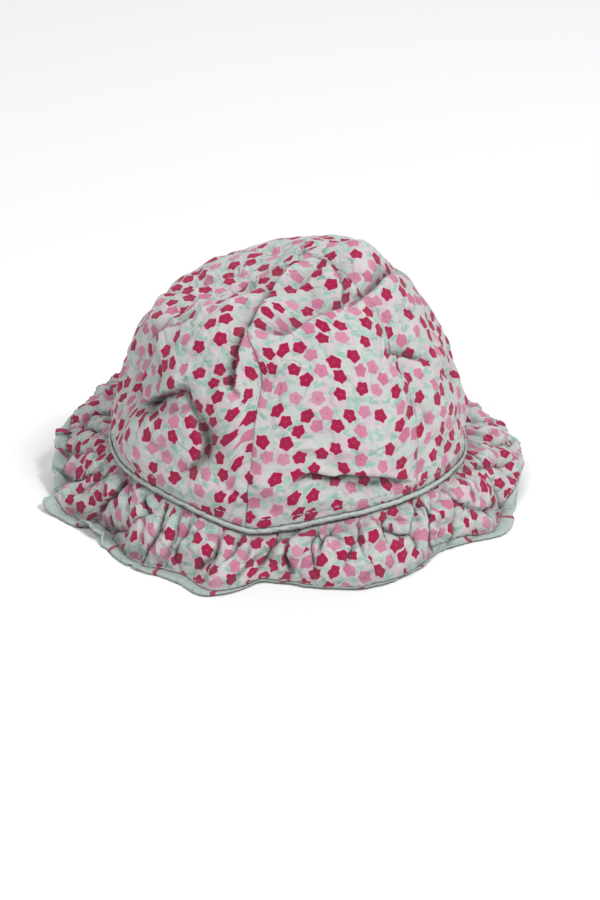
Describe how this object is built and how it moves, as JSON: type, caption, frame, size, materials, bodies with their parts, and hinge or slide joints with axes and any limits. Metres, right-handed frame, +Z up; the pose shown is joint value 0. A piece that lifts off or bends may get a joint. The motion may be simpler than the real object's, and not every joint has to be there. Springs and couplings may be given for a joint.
{
  "type": "ruffle-brim sun hat",
  "caption": "Small panelled cotton sun hat with a slack crown, a piped seam and a gathered ruffle brim whose facing is turned up over the hem, resting on that hem.",
  "frame": {"origin": "middle of the hat's box, on the surface that the hem rests on", "axes": "+Z up through the crown, -Y towards the front, +X to the right as seen from the front"},
  "size_m": [0.217, 0.207, 0.1132],
  "materials": {
    "printed_cotton": "matt woven cotton with a dense print of small flowers in raspberry and pink, with mint leaves, on off-white",
    "mint_cotton": "matt plain woven cotton in pale mint"
  },
  "bodies": {
    "root": {"crown_panel_front": "printed_cotton", "crown_panel_front_right": "printed_cotton", "crown_panel_back_right": "printed_cotton", "crown_panel_back": "printed_cotton", "crown_panel_back_left": "printed_cotton", "crown_panel_front_left": "printed_cotton", "piping": "mint_cotton", "brim_ruffle": "printed_cotton", "brim_facing": "mint_cotton"}
  },
  "joints": []
}
